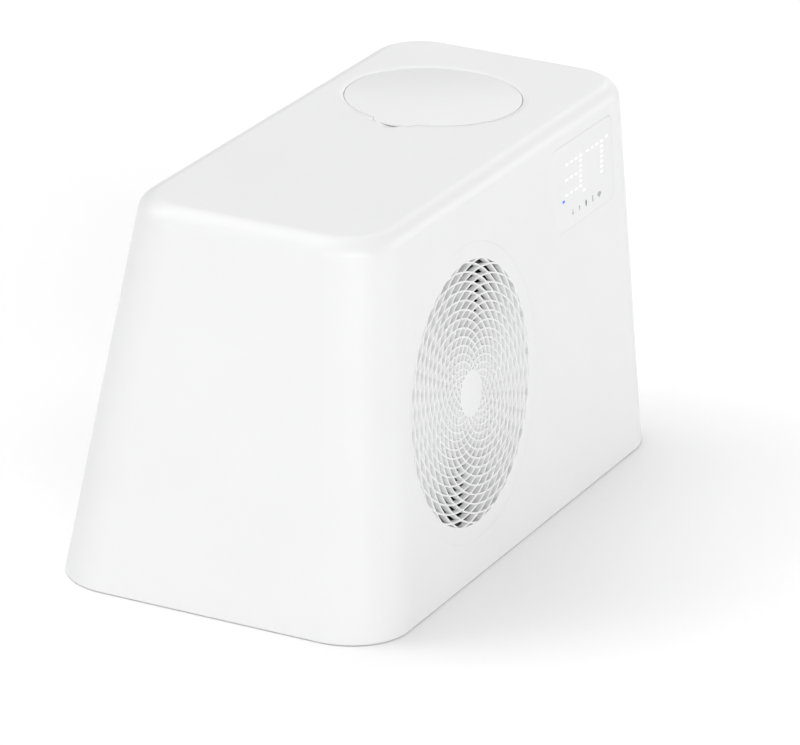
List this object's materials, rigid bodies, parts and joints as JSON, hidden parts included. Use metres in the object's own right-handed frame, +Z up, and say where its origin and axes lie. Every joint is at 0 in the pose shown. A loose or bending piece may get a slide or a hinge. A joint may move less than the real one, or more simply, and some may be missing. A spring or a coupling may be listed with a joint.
{
  "type": "ice bath chiller",
  "caption": "White moulded water chiller for an ice bath, with a spiral fan grille and touch display on its long face, a round filter lid on top and hose ports in a rear bay.",
  "frame": {"origin": "middle of the footprint, on the floor under the feet", "axes": "+X along the length, the end nearest the filter lid at +X; the fan grille and display face -Y, the service bay faces +Y; +Z up"},
  "size_m": [0.89, 0.488, 0.52],
  "materials": {
    "shroud_white": "gloss moulded",
    "lid_white": "gloss moulded",
    "grille_white": "gloss moulded",
    "window_white": "gloss, slightly translucent",
    "light_white": "lit",
    "light_blue": "lit",
    "print_grey": "printed",
    "louvre_white": "fine satin moulded",
    "bay_grey": "fine satin moulded",
    "galvanised": "galvanised sheet",
    "zinc": "zinc plated",
    "rubber_black": "matt",
    "gasket_grey": "soft",
    "duct_black": "moulded",
    "motor_alu": "die cast",
    "bracket_steel": "powder coated",
    "board_green": "solder masked board",
    "cap_dark": "moulded",
    "bleed_metal": "turned",
    "housing_pale": "moulded",
    "pleat_white": "pleated fleece",
    "socket_black": "moulded",
    "rocker_black": "moulded",
    "core_alu": "brazed",
    "can_black": "satin paint",
    "copper": "drawn copper",
    "valve_brass": "turned",
    "barrel_grey": "foam sleeved",
    "pump_dark": "moulded",
    "impeller_white": "moulded",
    "pump_blue": "painted die casting",
    "hose_black": "ribbed rubber",
    "capacitor_white": "sleeved can"
  },
  "bodies": {
    "chassis": {"base_tray": "galvanised", "rubber_feet": "rubber_black", "tray_screws": "zinc", "shroud": "shroud_white", "fan_grille": "grille_white", "fan_shroud": "duct_black", "fan_motor": "motor_alu", "motor_bracket": "bracket_steel", "display_window": "window_white", "display_digits": "light_white", "status_light": "light_blue", "touch_marks": "print_grey", "display_board": "board_green", "lid_gasket": "gasket_grey", "filter_housing": "housing_pale", "filter_cartridge": "pleat_white", "intake_louvre": "louvre_white", "service_bay": "bay_grey", "inlet_port": "cap_dark", "outlet_port": "cap_dark", "port_nuts": "cap_dark", "power_inlet": "socket_black", "switch_housing": "socket_black", "condenser_core": "core_alu", "condenser_fins": "core_alu", "condenser_brackets": "galvanised", "bulkhead": "galvanised", "pipe_grommets": "rubber_black", "compressor": "can_black", "compressor_mounts": "rubber_black", "compressor_nuts": "zinc", "terminal_cover": "can_black", "accumulator": "can_black", "discharge_pipe": "copper", "liquid_pipe": "copper", "filter_drier": "copper", "expansion_valve": "valve_brass", "suction_pipe": "copper", "heat_exchanger": "barrel_grey", "exchanger_stand": "galvanised", "pump_volute": "pump_dark", "pump_motor": "pump_blue", "pump_base": "pump_dark", "inlet_hose": "hose_black", "pump_hose": "hose_black", "exchanger_hose": "hose_black", "outlet_hose": "hose_black", "hose_clamps": "zinc", "control_box": "galvanised", "control_box_lid": "galvanised", "control_board": "board_green", "run_capacitor": "capacitor_white"},
    "lid": {"filter_lid": "lid_white"},
    "cap": {"filter_cap": "cap_dark", "cap_seal": "rubber_black"},
    "bleed": {"bleed_screw": "bleed_metal"},
    "rotor": {"fan_rotor": "duct_black"},
    "impeller": {"pump_impeller": "impeller_white"},
    "rocker": {"rocker_switch": "rocker_black"}
  },
  "joints": [
    {"name": "lid_lift", "type": "slide", "parent": "chassis", "child": "lid", "axis": [0, 0, 1], "range_m": [0, 0.15]},
    {"name": "cap_turn", "type": "hinge", "parent": "chassis", "child": "cap", "pos_m": [0.194, 0.006, 0.49], "axis": [0, 0, 1], "range_deg": [0, 90]},
    {"name": "bleed_turn", "type": "hinge", "parent": "cap", "child": "bleed", "pos_m": [0.194, 0.006, 0.5], "axis": [0, 0, 1], "range_deg": [0, 180]},
    {"name": "fan_spin", "type": "hinge", "parent": "chassis", "child": "rotor", "pos_m": [-0.1375, -0.21892, 0.24871], "axis": [0, -0.9947, 0.1024], "continuous": true},
    {"name": "pump_spin", "type": "hinge", "parent": "chassis", "child": "impeller", "pos_m": [0.15, 0.08, 0.07], "axis": [1, 0, 0], "continuous": true},
    {"name": "switch_rock", "type": "hinge", "parent": "chassis", "child": "rocker", "pos_m": [0.146, 0.1843, 0.125], "axis": [1, 0, 0], "range_deg": [-10, 10]}
  ]
}
